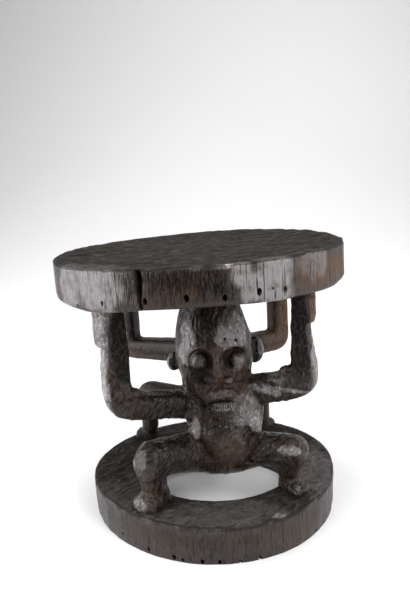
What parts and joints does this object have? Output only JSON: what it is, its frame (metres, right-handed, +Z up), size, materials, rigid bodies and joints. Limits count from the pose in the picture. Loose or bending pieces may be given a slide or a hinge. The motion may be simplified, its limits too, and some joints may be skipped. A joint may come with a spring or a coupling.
{
  "type": "caryatid stool",
  "caption": "Low round seat carried by squatting carved figures, back to back, on a ring-shaped base, all cut from a single block of dark hardwood.",
  "frame": {"origin": "on the floor, under the middle of the stool's plan", "axes": "+Z up; -Y towards the front figure's face; +X to the right as seen from the front"},
  "size_m": [0.4308, 0.4304, 0.4192],
  "materials": {
    "wood": "dark, near-black patina on hand-carved hardwood, with worn grey-brown highlights and a dull sheen"
  },
  "bodies": {
    "root": {"stool": "wood"}
  },
  "joints": []
}
